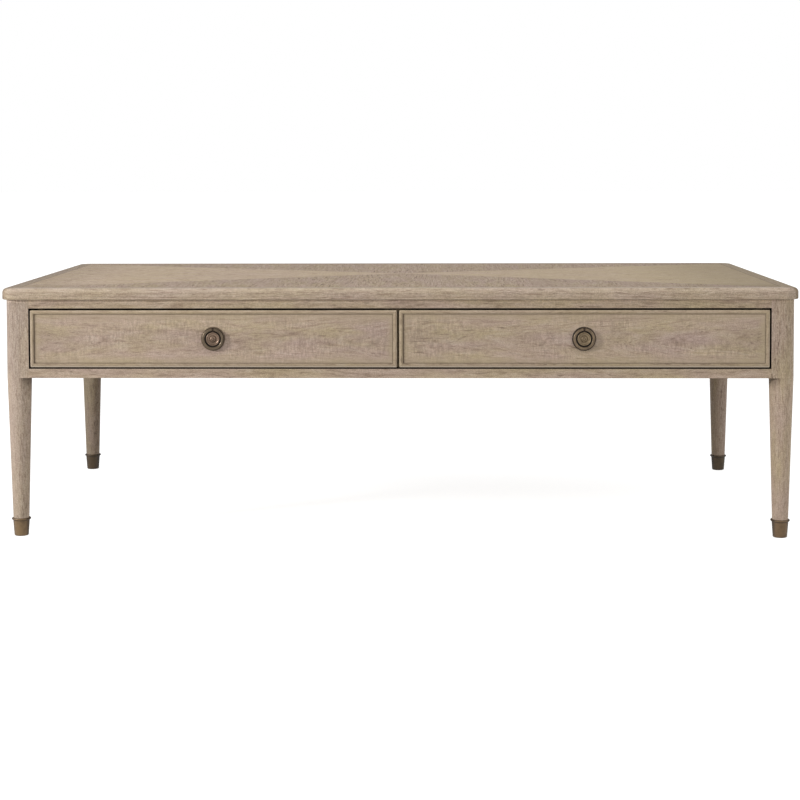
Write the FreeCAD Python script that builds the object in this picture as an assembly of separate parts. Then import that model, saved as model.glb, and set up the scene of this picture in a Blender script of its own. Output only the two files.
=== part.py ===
import FreeCAD, Part

import math
import os

from FreeCAD import Vector

# Storage coffee table with two drawers, round tapered legs, brass ferrules and ring pulls.
# Millimetres. Origin on the floor under the middle of the top; +X right, +Y back, +Z up.
# The drawer fronts face -Y.

# Whole table
table_length = 1450.0
table_depth = 765.0
table_height = 457.0

# Top: a panel with a mitred border tongued into it
top_thickness = 21.0
top_overhang = 7.5
top_upper_round = 9.0
top_lower_round = 2.0
border_width = 30.0
border_tongue_length = 6.0
border_tongue_thickness = 6.0

# Legs: a square post whose outer corner is as round as the taper below it
post_width = 44.5
leg_foot_diameter = 29.0

# Aprons and front rails
apron_height = 143.0
apron_thickness = 22.0
top_rail_height = 16.0
bottom_rail_height = 17.5
apron_arris = 1.0

# Joints of the carcass
tenon_length = 24.0
tenon_thickness = 10.0
tenon_lower_shoulder = 12.0
tenon_upper_shoulder = 18.0
twin_tenon_length = 20.0
twin_tenon_thickness = 9.0
twin_tenon_inset = 6.0
twin_tenon_shoulder = 3.0
rail_dovetail_length = 20.0
rail_dovetail_neck = 22.0
rail_dovetail_spread = 4.0
rail_dovetail_lap = 4.0
mortise_end_gap = 1.0
glue_gap = 0.1

# Ferrules
ferrule_height = 33.0
ferrule_mouth_diameter = 30.2
ferrule_foot_diameter = 26.0
ferrule_foot_round = 2.0
ferrule_wall = 1.2
ferrule_floor = 2.0
collar_diameter = 35.0
collar_height = 3.6

# Centre partition
partition_thickness = 22.0
partition_housing = 5.0
partition_setback = 2.0

# Runners, guides, kickers, stops and corner blocks
runner_thickness = 15.0
runner_reach = 20.0
guide_height = 30.0
stop_length = 40.0
stop_width = 18.0
stop_height = 5.0
stop_inset = 90.0
stop_gap = 0.3
corner_block_leg = 45.0
corner_block_height = 60.0

# Screws that hold the top
top_screw_diameter = 4.0
top_screw_head_diameter = 8.0
top_screw_head_height = 2.6
top_screw_bite = 12.0
top_screw_end_inset = 90.0

# Drawers
drawer_length = 520.0
drawer_side_gap = 2.8
drawer_top_gap = 3.2
drawer_bottom_gap = 2.5
centre_gap = 4.2
side_clearance = 1.2
running_clearance = 0.3
kicker_clearance = 1.5
front_thickness = 20.0
front_lip_thickness = 11.0
front_corner_round = 2.0
side_thickness = 12.0
side_top_round = 3.0
back_thickness = 12.0
back_drop = 6.0
bottom_thickness = 6.0
bottom_rise = 10.0
groove_depth = 6.0
tail_count = 3
tail_width_share = 0.68
tail_flare = 1.8
pin_count = 3
pin_width = 11.0

# Cock beads round the drawer fronts
bead_width = 7.0
bead_depth = 6.0
bead_crown = 1.3
quirk_width = 1.3
quirk_depth = 1.1

# Ring pulls
plate_diameter = 43.4
plate_thickness = 2.4
plate_edge_round = 1.2
rosette_diameter = 24.8
rosette_rim_height = 3.6
rosette_rim_width = 2.4
rosette_well_depth = 2.3
dome_diameter = 12.6
dome_height = 4.5
button_diameter = 4.8
button_height = 6.2
ring_diameter = 39.8
ring_band_width = 5.2
ring_band_depth = 4.0
ring_standoff = 3.0
neck_diameter = 2.4
lug_width = 2.6
lug_wall = 1.2
lug_side_gap = 0.5
hinge_gap = 0.2
stem_diameter = 7.0
stem_end_gap = 2.0
pull_screw_diameter = 4.0
pull_screw_length = 14.0
pull_screw_head_diameter = 10.0
pull_screw_head_height = 2.6
thread_gap = 0.1

# Cross recesses in the screw heads, as shares of the head's diameter and height
recess_length_share = 0.56
recess_width_share = 0.14
recess_depth_share = 0.65

# One overrun for cutting tools that pass right through a face
overrun = 5.0

# Levels
top_underside = table_height - top_thickness
apron_bottom = top_underside - apron_height
opening_bottom = apron_bottom + bottom_rail_height
opening_top = top_underside - top_rail_height

# Outer faces of the carcass, inner faces of the posts and of the aprons
frame_x = table_length / 2 - top_overhang
frame_y = table_depth / 2 - top_overhang
post_x = frame_x - post_width
post_y = frame_y - post_width
apron_x = frame_x - apron_thickness
apron_y = frame_y - apron_thickness

# Drawer places, for the right-hand drawer
front_inner_x = centre_gap / 2
front_outer_x = post_x - drawer_side_gap
box_inner_x = partition_thickness / 2 + side_clearance
front_inset = box_inner_x - front_inner_x
box_outer_x = front_outer_x - front_inset
drawer_x = (front_inner_x + front_outer_x) / 2
front_bottom = opening_bottom + drawer_bottom_gap
front_top = opening_top - drawer_top_gap
front_face_y = -frame_y
front_back_y = front_face_y + front_thickness
drawer_rear_y = front_face_y + drawer_length
side_bottom = opening_bottom + running_clearance
side_top = opening_top - kicker_clearance
panel_bottom = side_bottom + bottom_rise
panel_top = panel_bottom + bottom_thickness
pull_z = (front_bottom + front_top) / 2

left_and_right = {"left": -1, "right": 1}
front_and_back = {"front": -1, "back": 1}


# Shapes that the pieces are made from


def block(low, high, grow=0):
    """Box between two corners given in any order, grown on every side."""
    sizes = [abs(b - a) + 2 * grow for a, b in zip(low, high)]
    corner = [min(a, b) - grow for a, b in zip(low, high)]
    return Part.makeBox(*sizes, Vector(*corner))


def prism(points, along):
    """Solid made by moving a flat outline of points along a vector."""
    corners = [Vector(*p) for p in points]
    return Part.Face(Part.makePolygon(corners + corners[:1])).extrude(Vector(*along))


def rod(radius, start, end):
    """Round bar between two points."""
    a, b = Vector(*start), Vector(*end)
    return Part.makeCylinder(radius, (b - a).Length, a, b - a)


def revolved(edges, axis):
    """Solid of revolution of a closed outline about an axis through the origin."""
    return Part.Face(Part.Wire(edges)).revolve(Vector(), axis, 360)


def line(a, b):
    return Part.LineSegment(Vector(*a), Vector(*b)).toShape()


def arc(a, through, b):
    return Part.Arc(Vector(*a), Vector(*through), Vector(*b)).toShape()


def joined(shapes):
    return shapes[0].fuse(shapes[1:]).removeSplitter()


def edges_along(shape, *axis):
    return [e for e in shape.Edges if abs(e.tangentAt(0).dot(Vector(*axis))) > 0.5]


def cross_recess(diameter, height):
    """Two crossed slots on the origin, sunk up into a screw head."""
    length, width = diameter * recess_length_share / 2, diameter * recess_width_share / 2
    depth = height * recess_depth_share
    slots = [(length, width), (width, length)]
    return joined([block((-x, -y, -overrun), (x, y, depth)) for x, y in slots])


# Top


def top_slab():
    """The whole top before it is split: corners round the posts, both edges eased."""
    corner = post_width / 2 + top_overhang
    slab = block(
        (-table_length / 2, -table_depth / 2, top_underside),
        (table_length / 2, table_depth / 2, table_height),
    )
    slab = slab.makeFillet(corner, edges_along(slab, 0, 0, 1))
    upper = [e for e in slab.Edges if e.BoundBox.ZMin > table_height - top_lower_round]
    slab = slab.makeFillet(top_upper_round, upper)
    lower = [e for e in slab.Edges if e.BoundBox.ZMax < top_underside + top_lower_round]
    return slab.makeFillet(top_lower_round, lower)


def top_field(inset, low, high, grow=0):
    """Rectangle of the top, a distance in from its edges, between two levels."""
    x = table_length / 2 - inset
    y = table_depth / 2 - inset
    return block((-x, -y, low), (x, y, high), grow)


def border_tongue(grow=0):
    """Ring of tongue on the inner faces of the border."""
    middle = (table_height + top_underside) / 2
    low = middle - border_tongue_thickness / 2
    high = middle + border_tongue_thickness / 2
    ring = top_field(border_width, low, high, grow)
    core = border_width + border_tongue_length + grow
    return ring.cut(top_field(core, top_underside, table_height))


def top_panel(screw_places):
    panel = top_field(border_width, top_underside, table_height)
    holes = [top_screw(x, y, thread_gap) for x, y in screw_places]
    return panel.cut([border_tongue(glue_gap)] + holes)


def mitre_wedge(side):
    """Quarter of the plan that one border piece fills, cut at 45 degrees at the corners."""
    x, y = table_length / 2 + overrun, table_depth / 2 + overrun
    reach = border_width + border_tongue_length + 2 * overrun
    outer = {
        "front": (-x, -y, x, -y),
        "back": (x, y, -x, y),
        "left": (-x, y, -x, -y),
        "right": (x, -y, x, y),
    }
    x0, y0, x1, y1 = outer[side]

    def inward(px, py):
        return px - math.copysign(reach, px), py - math.copysign(reach, py)

    plan = [(x0, y0), (x1, y1), inward(x1, y1), inward(x0, y0)]
    level = top_underside - overrun
    return prism([(px, py, level) for px, py in plan], (0, 0, top_thickness + 2 * overrun))


def top_edges():
    """Four border pieces with tongues, mitred at the corners."""
    opening = top_field(border_width, top_underside - overrun, table_height + overrun)
    border = top_slab().cut(opening)
    border = border.fuse(border_tongue())
    return {side: border.common(mitre_wedge(side)) for side in ("front", "back", "left", "right")}


# Carcass joints, each drawn once and grown by the glue gap for its mortise


def side_tenon(sx, sy, grow=0):
    """Tenon of a side apron in one post."""
    middle = frame_x - apron_thickness / 2
    end = post_y + tenon_length + (mortise_end_gap if grow else 0)
    return block(
        (sx * (middle - tenon_thickness / 2), sy * (post_y - overrun), apron_bottom + tenon_lower_shoulder),
        (sx * (middle + tenon_thickness / 2), sy * end, top_underside - tenon_upper_shoulder),
        grow,
    )


def back_tenon(sx, grow=0):
    """Tenon of the back apron in one back post."""
    middle = frame_y - apron_thickness / 2
    end = post_x + tenon_length + (mortise_end_gap if grow else 0)
    return block(
        (sx * (post_x - overrun), middle - tenon_thickness / 2, apron_bottom + tenon_lower_shoulder),
        (sx * end, middle + tenon_thickness / 2, top_underside - tenon_upper_shoulder),
        grow,
    )


def twin_tenons(sx, grow=0):
    """Two tenons side by side on an end of the bottom rail."""
    end = post_x + twin_tenon_length + (mortise_end_gap if grow else 0)
    starts = (-frame_y + twin_tenon_inset, -post_y - twin_tenon_inset - twin_tenon_thickness)
    return [
        block(
            (sx * (post_x - overrun), y, apron_bottom + twin_tenon_shoulder),
            (sx * end, y + twin_tenon_thickness, opening_bottom - twin_tenon_shoulder),
            grow,
        )
        for y in starts
    ]


def rail_dovetail(sx, grow=0):
    """Lapped dovetail of the top rail in the top of a front post."""
    middle = -frame_y + post_width / 2
    neck = rail_dovetail_neck / 2 + grow
    wide = neck + rail_dovetail_spread
    start, end = post_x, post_x + rail_dovetail_length + grow
    plan = [(start, -neck), (end, -wide), (end, wide), (start, neck)]
    low = opening_top + rail_dovetail_lap - grow
    points = [(sx * x, middle + y, low) for x, y in plan]
    return prism(points, (0, 0, top_underside - low))


# Carcass


def ease_arris(board, along, toward):
    """Apron or rail with its lower outer arris rounded."""
    outward = Vector(*toward)
    outer = max(edges_along(board, *along), key=lambda e: e.CenterOfMass.dot(outward))
    return board.makeFillet(apron_arris, [outer])


def leg_profile():
    """Round part of a leg, from the ferrule's floor up to the post."""
    floor = ferrule_floor + glue_gap
    foot = ferrule_bore(ferrule_floor) - glue_gap
    mouth = ferrule_bore(ferrule_height) - glue_gap
    shoulder = leg_foot_diameter / 2
    outline = [
        (0, 0, floor),
        (foot, 0, floor),
        (mouth, 0, ferrule_height),
        (shoulder, 0, ferrule_height),
        (post_width / 2, 0, apron_bottom),
        (0, 0, apron_bottom),
    ]
    return [line(a, b) for a, b in zip(outline, outline[1:] + outline[:1])]


def post(sx, sy):
    """Square post with its outer corner rounded to the radius of the leg."""
    r = post_width / 2
    lean = r * math.sqrt(0.5)
    x, y = sx * (post_x + r), sy * (post_y + r)

    def at(u, v):
        return x + sx * u, y + sy * v, apron_bottom

    outline = [
        line(at(r, -r), at(-r, -r)),
        line(at(-r, -r), at(-r, r)),
        line(at(-r, r), at(0, r)),
        arc(at(0, r), at(lean, lean), at(r, 0)),
        line(at(r, 0), at(r, -r)),
    ]
    return Part.Face(Part.Wire(outline)).extrude(Vector(0, 0, apron_height))


def leg(sx, sy):
    centre = Vector(sx * (post_x + post_width / 2), sy * (post_y + post_width / 2), 0)
    taper = revolved(leg_profile(), Vector(0, 0, 1))
    taper.translate(centre)
    whole = joined([post(sx, sy), taper])
    mortises = [side_tenon(sx, sy, glue_gap)]
    if sy > 0:
        mortises.append(back_tenon(sx, glue_gap))
    else:
        mortises += twin_tenons(sx, glue_gap) + [rail_dovetail(sx, glue_gap)]
    return whole.cut(mortises)


def ferrule_bore(level):
    """Inner radius of a ferrule at a level above the floor."""
    mouth, foot = ferrule_mouth_diameter / 2, ferrule_foot_diameter / 2
    return foot + (mouth - foot) * level / ferrule_height - ferrule_wall


def ferrule(sx, sy):
    """Closed brass cup with a round collar at its mouth."""
    foot, mouth = ferrule_foot_diameter / 2, ferrule_mouth_diameter / 2
    ease = ferrule_foot_round
    slant = ease * (1 - math.sqrt(0.5))
    bead = collar_height / 2
    collar_low = ferrule_height - collar_height
    bead_centre = collar_diameter / 2 - bead
    top = ferrule_bore(ferrule_height)
    base = ferrule_bore(ferrule_floor)
    outline = [
        line((0, 0, 0), (foot - ease, 0, 0)),
        arc((foot - ease, 0, 0), (foot - slant, 0, slant), (foot, 0, ease)),
        line((foot, 0, ease), (mouth, 0, collar_low)),
        line((mouth, 0, collar_low), (bead_centre, 0, collar_low)),
        arc(
            (bead_centre, 0, collar_low),
            (bead_centre + bead, 0, collar_low + bead),
            (bead_centre, 0, ferrule_height),
        ),
        line((bead_centre, 0, ferrule_height), (top, 0, ferrule_height)),
        line((top, 0, ferrule_height), (base, 0, ferrule_floor)),
        line((base, 0, ferrule_floor), (0, 0, ferrule_floor)),
        line((0, 0, ferrule_floor), (0, 0, 0)),
    ]
    cup = revolved(outline, Vector(0, 0, 1))
    cup.translate(Vector(sx * (post_x + post_width / 2), sy * (post_y + post_width / 2), 0))
    return cup


def partition_tongue(grow=0):
    """Front of the partition, let into both front rails behind the drawer fronts."""
    half = partition_thickness / 2
    return block(
        (-half, front_back_y + partition_setback, opening_bottom - partition_housing),
        (half, -post_y + (overrun if grow else 0), opening_top + partition_housing),
        grow,
    )


def partition_board(grow=0):
    """Body of the partition, housed in the back apron."""
    half = partition_thickness / 2
    return block((-half, -post_y, apron_bottom), (half, apron_y + partition_housing, top_underside), grow)


def centre_partition():
    return joined([partition_board(), partition_tongue()])


def front_top_rail():
    rail = block((-post_x, -frame_y, opening_top), (post_x, -post_y, top_underside))
    rail = joined([rail, rail_dovetail(-1), rail_dovetail(1)])
    return rail.cut(partition_tongue(glue_gap))


def front_bottom_rail():
    rail = block((-post_x, -frame_y, apron_bottom), (post_x, -post_y, opening_bottom))
    rail = ease_arris(rail, (1, 0, 0), (0, -1, -1))
    rail = joined([rail] + twin_tenons(-1) + twin_tenons(1))
    return rail.cut(partition_tongue(glue_gap))


def back_apron():
    board = block((-post_x, apron_y, apron_bottom), (post_x, frame_y, top_underside))
    board = ease_arris(board, (1, 0, 0), (0, 1, -1))
    board = joined([board, back_tenon(-1), back_tenon(1)])
    return board.cut(partition_board(glue_gap))


def side_apron(sx):
    board = block((sx * apron_x, -post_y, apron_bottom), (sx * frame_x, post_y, top_underside))
    board = ease_arris(board, (0, 1, 0), (sx, 0, -1))
    return joined([board, side_tenon(sx, -1), side_tenon(sx, 1)])


# Drawer running gear


def strip_plan(sx, place):
    """Left and right faces of the strip under or over one drawer side."""
    if place == "outer":
        return sx * (box_outer_x - runner_reach), sx * apron_x
    return sx * partition_thickness / 2, sx * (box_inner_x + runner_reach)


def back_post_notch(sx):
    """Room for a back post in what runs along a side apron."""
    return block(
        (sx * post_x, post_y, apron_bottom), (sx * frame_x, frame_y, top_underside), glue_gap
    )


def runner(sx, place):
    """Level strip that carries one drawer side."""
    a, b = strip_plan(sx, place)
    strip = block((a, -post_y, opening_bottom - runner_thickness), (b, apron_y, opening_bottom))
    return strip.cut(back_post_notch(sx)) if place == "outer" else strip


def kicker(sx, place):
    """Strip above one drawer side that keeps the pulled drawer level."""
    a, b = strip_plan(sx, place)
    strip = block((a, -post_y, opening_top), (b, apron_y, top_underside))
    if place == "outer":
        strip = strip.cut(back_post_notch(sx))
    return strip.cut([top_screw(x, y, thread_gap) for x, y in kicker_screws(sx, place)])


def guide(sx):
    """Block that fills the space between a drawer side and the side apron."""
    return block(
        (sx * (box_outer_x + side_clearance), -post_y, opening_bottom),
        (sx * apron_x, post_y, opening_bottom + guide_height),
    )


def drawer_stops():
    """Small blocks on the bottom rail that stop the drawer fronts flush."""
    near = front_back_y + stop_gap
    middles = [s * (drawer_x + d * (drawer_x - stop_inset)) for s in (-1, 1) for d in (-1, 1)]
    blocks = [
        block(
            (x - stop_length / 2, near, opening_bottom),
            (x + stop_length / 2, near + stop_width, opening_bottom + stop_height),
        )
        for x in middles
    ]
    return Part.makeCompound(blocks)


def corner_block(sx):
    """Glue block that wraps the inner corner of a back post."""
    middle = (opening_bottom + guide_height + opening_top) / 2
    low = middle - corner_block_height / 2
    plan = [
        (apron_x, post_y),
        (apron_x, post_y - corner_block_leg),
        (post_x - corner_block_leg, apron_y),
        (post_x, apron_y),
        (post_x, post_y),
    ]
    return prism([(sx * x, y, low) for x, y in plan], (0, 0, corner_block_height))


def kicker_screws(sx, place):
    """Places of the screws through one kicker."""
    a, b = strip_plan(sx, place)
    return [((a + b) / 2, s * (post_y - top_screw_end_inset)) for s in (-1, 1)]


def top_screw(x, y, grow=0):
    """Countersunk screw from under a kicker into the top."""
    shank, head = top_screw_diameter / 2 + grow, top_screw_head_diameter / 2 + grow
    tip = top_underside + top_screw_bite + grow
    cone_top = opening_top + top_screw_head_height
    outline = [
        (0, 0, opening_top),
        (head, 0, opening_top),
        (shank, 0, cone_top),
        (shank, 0, tip),
        (0, 0, tip),
    ]
    screw = revolved([line(a, b) for a, b in zip(outline, outline[1:] + outline[:1])], Vector(0, 0, 1))
    if not grow:
        recess = cross_recess(top_screw_head_diameter, top_screw_head_height)
        recess.translate(Vector(0, 0, opening_top))
        screw = screw.cut(recess)
    screw.translate(Vector(x, y, 0))
    return screw


# Drawers, built round the middle of the front and then moved to their places


def front_tails(grow=0):
    """Half-blind tails of the right-hand side board, which the front takes from behind."""
    pitch = (front_top - front_bottom) / tail_count
    neck = pitch * tail_width_share / 2 + grow
    wide = neck + tail_flare
    depth = front_thickness - front_lip_thickness - (0 if grow else glue_gap)
    outer = box_outer_x - drawer_x
    inner = outer - side_thickness
    tails = []
    for k in range(tail_count):
        z = front_bottom + pitch * (k + 0.5)
        y = front_back_y
        flare = [(y, z - neck), (y - depth, z - wide), (y - depth, z + wide), (y, z + neck)]
        plan = [(inner, *place) for place in flare]
        tails.append(prism(plan, (side_thickness + (overrun if grow else 0), 0, 0)))
    return tails


def back_pins(grow=0):
    """Pins of the drawer back that pass through the right-hand side board."""
    low, high = panel_top, side_top - back_drop
    pitch = (high - low) / pin_count
    outer = box_outer_x - drawer_x
    inner = outer - side_thickness
    wide = pin_width / 2 + grow
    narrow = wide - tail_flare
    near, far = drawer_rear_y - back_thickness - grow, drawer_rear_y
    pins = []
    for k in range(pin_count):
        z = low + pitch * (k + 0.5)
        flare = [(near, z - wide), (far, z - narrow), (far, z + narrow), (near, z + wide)]
        plan = [(inner, *place) for place in flare]
        pins.append(prism(plan, (side_thickness + (overrun if grow else 0), 0, 0)))
    return pins


def both_sides(shapes):
    """The shapes of the right-hand side and their mirror images."""
    return shapes + [s.mirror(Vector(), Vector(1, 0, 0)) for s in shapes]


def front_frame(inset, near, far):
    """Rectangle of the drawer front, a distance in from its edges."""
    half = (front_outer_x - front_inner_x) / 2 - inset
    return block((-half, near, front_bottom + inset), (half, far, front_top - inset))


def front_slab(near, far):
    """The drawer front's outline with its four corners eased."""
    slab = front_frame(0, near, far)
    return slab.makeFillet(front_corner_round, edges_along(slab, 0, 1, 0))


def drawer_bottom_panel(grow=0):
    half = box_outer_x - drawer_x - side_thickness + groove_depth
    return block(
        (-half, front_back_y - groove_depth, panel_bottom), (half, drawer_rear_y, panel_top), grow
    )


def drawer_front():
    """Board with rebates for the beads, lips at its ends, sockets for the tails and a groove."""
    face, back = front_face_y, front_back_y
    board = front_slab(face, back)
    for width, depth in ((bead_width, bead_depth), (bead_width + quirk_width, quirk_depth)):
        around = front_frame(0, face - overrun, face + depth)
        board = board.cut(around.cut(front_frame(width, face - overrun, face + depth)))
    half = box_outer_x - drawer_x
    lips = block(
        (half, face + front_lip_thickness, front_bottom - overrun),
        (half + front_inset + overrun, back + overrun, front_top + overrun),
    )
    board = board.cut(both_sides([lips]))
    board = board.cut(both_sides(front_tails(glue_gap)) + [drawer_bottom_panel(glue_gap)])
    hole = stem_diameter / 2 + thread_gap
    return board.cut(rod(hole, (0, face - overrun, pull_z), (0, back + overrun, pull_z)))


def bead_strip(side):
    """One mitred cock bead with a crowned face."""
    half_x = (front_outer_x - front_inner_x) / 2
    half_z = (front_top - front_bottom) / 2
    long_x = side in ("top", "bottom")
    half_run, half_rise = (half_x, half_z) if long_x else (half_z, half_x)
    sign = 1 if side in ("top", "right") else -1

    def at(run, rise, y):
        u, v = (run, sign * rise) if long_x else (sign * rise, run)
        return u, y, pull_z + v

    outer, inner = half_rise, half_rise - bead_width
    middle = (outer + inner) / 2
    face, floor = front_face_y, front_face_y + bead_depth
    corners = [(inner, floor), (outer, floor), (outer, face), (inner, face)]
    low, high, lip, quirk = [at(-half_run, rise, y) for rise, y in corners]
    crown = at(-half_run, middle, face - bead_crown)
    section = [line(low, high), line(high, lip), arc(lip, crown, quirk), line(quirk, low)]
    run = Vector(*at(half_run, outer, face)) - Vector(*lip)
    strip = Part.Face(Part.Wire(section)).extrude(run)
    short_run = half_run - bead_width
    plan = [(-half_run, outer), (half_run, outer), (short_run, inner), (-short_run, inner)]
    wedge = prism([at(u, v, face - overrun) for u, v in plan], (0, bead_depth + 2 * overrun, 0))
    return strip.common(wedge).common(front_slab(face - overrun, floor))


def drawer_side():
    """Right-hand side board."""
    outer = box_outer_x - drawer_x
    board = block((outer - side_thickness, front_back_y, side_bottom), (outer, drawer_rear_y, side_top))
    upper = [e for e in edges_along(board, 0, 1, 0) if e.BoundBox.ZMin > panel_top]
    board = board.makeFillet(side_top_round, upper)
    board = joined([board] + front_tails())
    board = board.cut(back_pins(glue_gap))
    return board.cut(drawer_bottom_panel(glue_gap))


def drawer_back():
    half = box_outer_x - drawer_x - side_thickness
    board = block(
        (-half, drawer_rear_y - back_thickness, panel_top), (half, drawer_rear_y, side_top - back_drop)
    )
    return joined([board] + both_sides(back_pins()))


# Ring pull, on the middle of a drawer front, with its axis along Y


def turned(outline):
    """Solid turned about the pull's axis from (radius, height in front of the drawer face) edges."""
    edges = []
    for step in outline:
        places = [(r, front_face_y - h, 0) for r, h in step]
        edges.append(arc(*places) if len(places) == 3 else line(*places))
    shape = revolved(edges, Vector(0, 1, 0))
    shape.translate(Vector(0, 0, pull_z))
    return shape


def cap_middle(radius, low, high):
    """Point half-way up the arc of a round cap that rises from low to high on the axis."""
    rise = high - low
    sphere = (radius**2 + rise**2) / (2 * rise)
    half_angle = math.atan2(radius, sphere - rise) / 2
    return sphere * math.sin(half_angle), high - sphere * (1 - math.cos(half_angle))


def pull_plate():
    """Flat round plate with an eased edge."""
    bore, edge, ease = stem_diameter / 2 + thread_gap, plate_diameter / 2, plate_edge_round
    t = plate_thickness
    slant = ease * (1 - math.sqrt(0.5))
    return turned(
        [
            ((bore, 0), (edge, 0)),
            ((edge, 0), (edge, t - ease)),
            ((edge, t - ease), (edge - slant, t - slant), (edge - ease, t)),
            ((edge - ease, t), (bore, t)),
            ((bore, t), (bore, 0)),
        ]
    )


def rosette_turning():
    """Round rim, dish, dome and button, with the stem that passes through the drawer front."""
    base = plate_thickness
    edge = rosette_diameter / 2
    rim = rosette_rim_width / 2
    crest = base + rosette_rim_height
    cheek = crest - rim
    inner_edge = edge - rosette_rim_width
    well = crest - rosette_well_depth
    foot = dome_diameter / 2
    dome_top = base + dome_height
    button = button_diameter / 2
    shoulder = foot + (button - foot) / 2
    tip = base + button_height
    stem = stem_diameter / 2
    stem_end = stem_end_gap - front_thickness
    return turned(
        [
            ((0, stem_end), (stem, stem_end)),
            ((stem, stem_end), (stem, base)),
            ((stem, base), (edge, base)),
            ((edge, base), (edge, cheek)),
            ((edge, cheek), (edge - rim, crest), (inner_edge, cheek)),
            ((inner_edge, cheek), ((inner_edge + foot) / 2, well + (cheek - well) / 4), (foot, well)),
            ((foot, well), (shoulder, dome_top - (dome_top - well) / 4), (button, dome_top)),
            ((button, dome_top), cap_middle(button, dome_top, tip), (0, tip)),
            ((0, tip), (0, stem_end)),
        ]
    )


def hinge_point():
    """Middle of the ring's hinge: distance in front of the face, and level."""
    return front_face_y - plate_thickness - ring_standoff, pull_z + (ring_diameter - ring_band_width) / 2


def pull_rosette():
    """Rosette with its lug, which carries the ring at twelve o'clock."""
    y, z = hinge_point()
    half = lug_width / 2
    bore = neck_diameter / 2 + hinge_gap
    eye = bore + lug_wall
    foot_z = pull_z + (rosette_diameter - rosette_rim_width) / 2
    arm = block((-half, front_face_y - plate_thickness, foot_z), (half, y, z + eye))
    whole = joined([rosette_turning(), arm, rod(eye, (-half, y, z), (half, y, z))])
    pivot = rod(bore, (-half - overrun, y, z), (half + overrun, y, z))
    thread_end = front_back_y - pull_screw_length - thread_gap
    thread = pull_screw_diameter / 2 + thread_gap
    return whole.cut([pivot, rod(thread, (0, front_back_y, pull_z), (0, thread_end, pull_z))])


def pull_ring():
    """Oval-section ring, parted at the top by a thin neck that turns in the lug."""
    y, z = hinge_point()
    mean = (ring_diameter - ring_band_width) / 2
    half_width, half_depth = ring_band_width / 2, ring_band_depth / 2
    section = Part.Ellipse(Vector(mean, y, 0), half_width, half_depth).toShape()
    ring = Part.Face(Part.Wire([section])).revolve(Vector(), Vector(0, 1, 0), 360)
    ring.translate(Vector(0, 0, pull_z))
    gap = lug_width / 2 + lug_side_gap
    reach = half_width + overrun
    ring = ring.cut(block((-gap, y - reach, z - reach), (gap, y + reach, z + reach)))
    root = gap + neck_diameter
    return joined([ring, rod(neck_diameter / 2, (-root, y, z), (root, y, z))])


def pull_screw():
    """Pan-head screw from inside the drawer into the rosette's stem."""
    back = front_back_y
    rise = pull_screw_head_height
    head = rod(pull_screw_head_diameter / 2, (0, back, pull_z), (0, back + rise, pull_z))
    rim = [e for e in head.Edges if e.BoundBox.YMin > back + rise / 2]
    head = head.makeFillet(rise / 2, rim)
    recess = cross_recess(pull_screw_head_diameter, rise)
    recess.rotate(Vector(), Vector(1, 0, 0), 90)
    recess.translate(Vector(0, back + rise, pull_z))
    head = head.cut(recess)
    tip = back - pull_screw_length
    return joined([head, rod(pull_screw_diameter / 2, (0, back, pull_z), (0, tip, pull_z))])


def drawer_pieces():
    """Every piece of a drawer, round the middle of its front."""
    side = drawer_side()
    pieces = {
        "front": drawer_front(),
        "side_right": side,
        "side_left": side.mirror(Vector(), Vector(1, 0, 0)),
        "back": drawer_back(),
        "bottom": drawer_bottom_panel(),
        "pull_plate": pull_plate(),
        "pull_rosette": pull_rosette(),
        "pull_ring": pull_ring(),
        "pull_screw": pull_screw(),
    }
    for place in ("top", "bottom", "left", "right"):
        pieces["bead_" + place] = bead_strip(place)
    return pieces


# Every node of the table


def all_pieces():
    pieces = {}
    screw_places = []
    for side, sx in left_and_right.items():
        for place in ("outer", "inner"):
            screw_places += kicker_screws(sx, place)
    pieces["top_panel"] = top_panel(screw_places)
    for side, shape in top_edges().items():
        pieces["top_edge_" + side] = shape
    for end, sy in front_and_back.items():
        for side, sx in left_and_right.items():
            pieces["leg_" + end + "_" + side] = leg(sx, sy)
            pieces["ferrule_" + end + "_" + side] = ferrule(sx, sy)
    pieces["front_top_rail"] = front_top_rail()
    pieces["front_bottom_rail"] = front_bottom_rail()
    pieces["back_apron"] = back_apron()
    pieces["centre_partition"] = centre_partition()
    for side, sx in left_and_right.items():
        pieces["side_apron_" + side] = side_apron(sx)
        pieces["guide_" + side] = guide(sx)
        pieces["corner_block_" + side] = corner_block(sx)
        for place in ("outer", "inner"):
            pieces["runner_" + side + "_" + place] = runner(sx, place)
            pieces["kicker_" + side + "_" + place] = kicker(sx, place)
    pieces["drawer_stops"] = drawer_stops()
    pieces["top_screws"] = Part.makeCompound([top_screw(x, y) for x, y in screw_places])
    for side, sx in left_and_right.items():
        for name, shape in drawer_pieces().items():
            shape.translate(Vector(sx * drawer_x, 0, 0))
            pieces["drawer_" + side + "_" + name] = shape
    return pieces


os.makedirs("parts", exist_ok=True)
for node, shape in all_pieces().items():
    shape.exportStep("parts/" + node + ".step")
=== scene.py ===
import math
from collections import namedtuple

import bpy
from mathutils import Matrix, Vector


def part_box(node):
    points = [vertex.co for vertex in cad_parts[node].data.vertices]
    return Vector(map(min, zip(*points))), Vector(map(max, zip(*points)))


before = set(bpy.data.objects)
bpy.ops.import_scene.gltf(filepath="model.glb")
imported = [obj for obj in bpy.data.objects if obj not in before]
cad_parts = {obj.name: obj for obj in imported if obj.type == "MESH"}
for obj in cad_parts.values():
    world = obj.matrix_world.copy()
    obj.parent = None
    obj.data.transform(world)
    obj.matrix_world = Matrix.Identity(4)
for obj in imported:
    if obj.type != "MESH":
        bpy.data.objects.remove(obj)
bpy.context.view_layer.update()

# Storage coffee table: washed oak, aged brass ferrules and bronze ring pulls.
# Metres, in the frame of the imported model: +X right, +Y back, +Z up.

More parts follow.
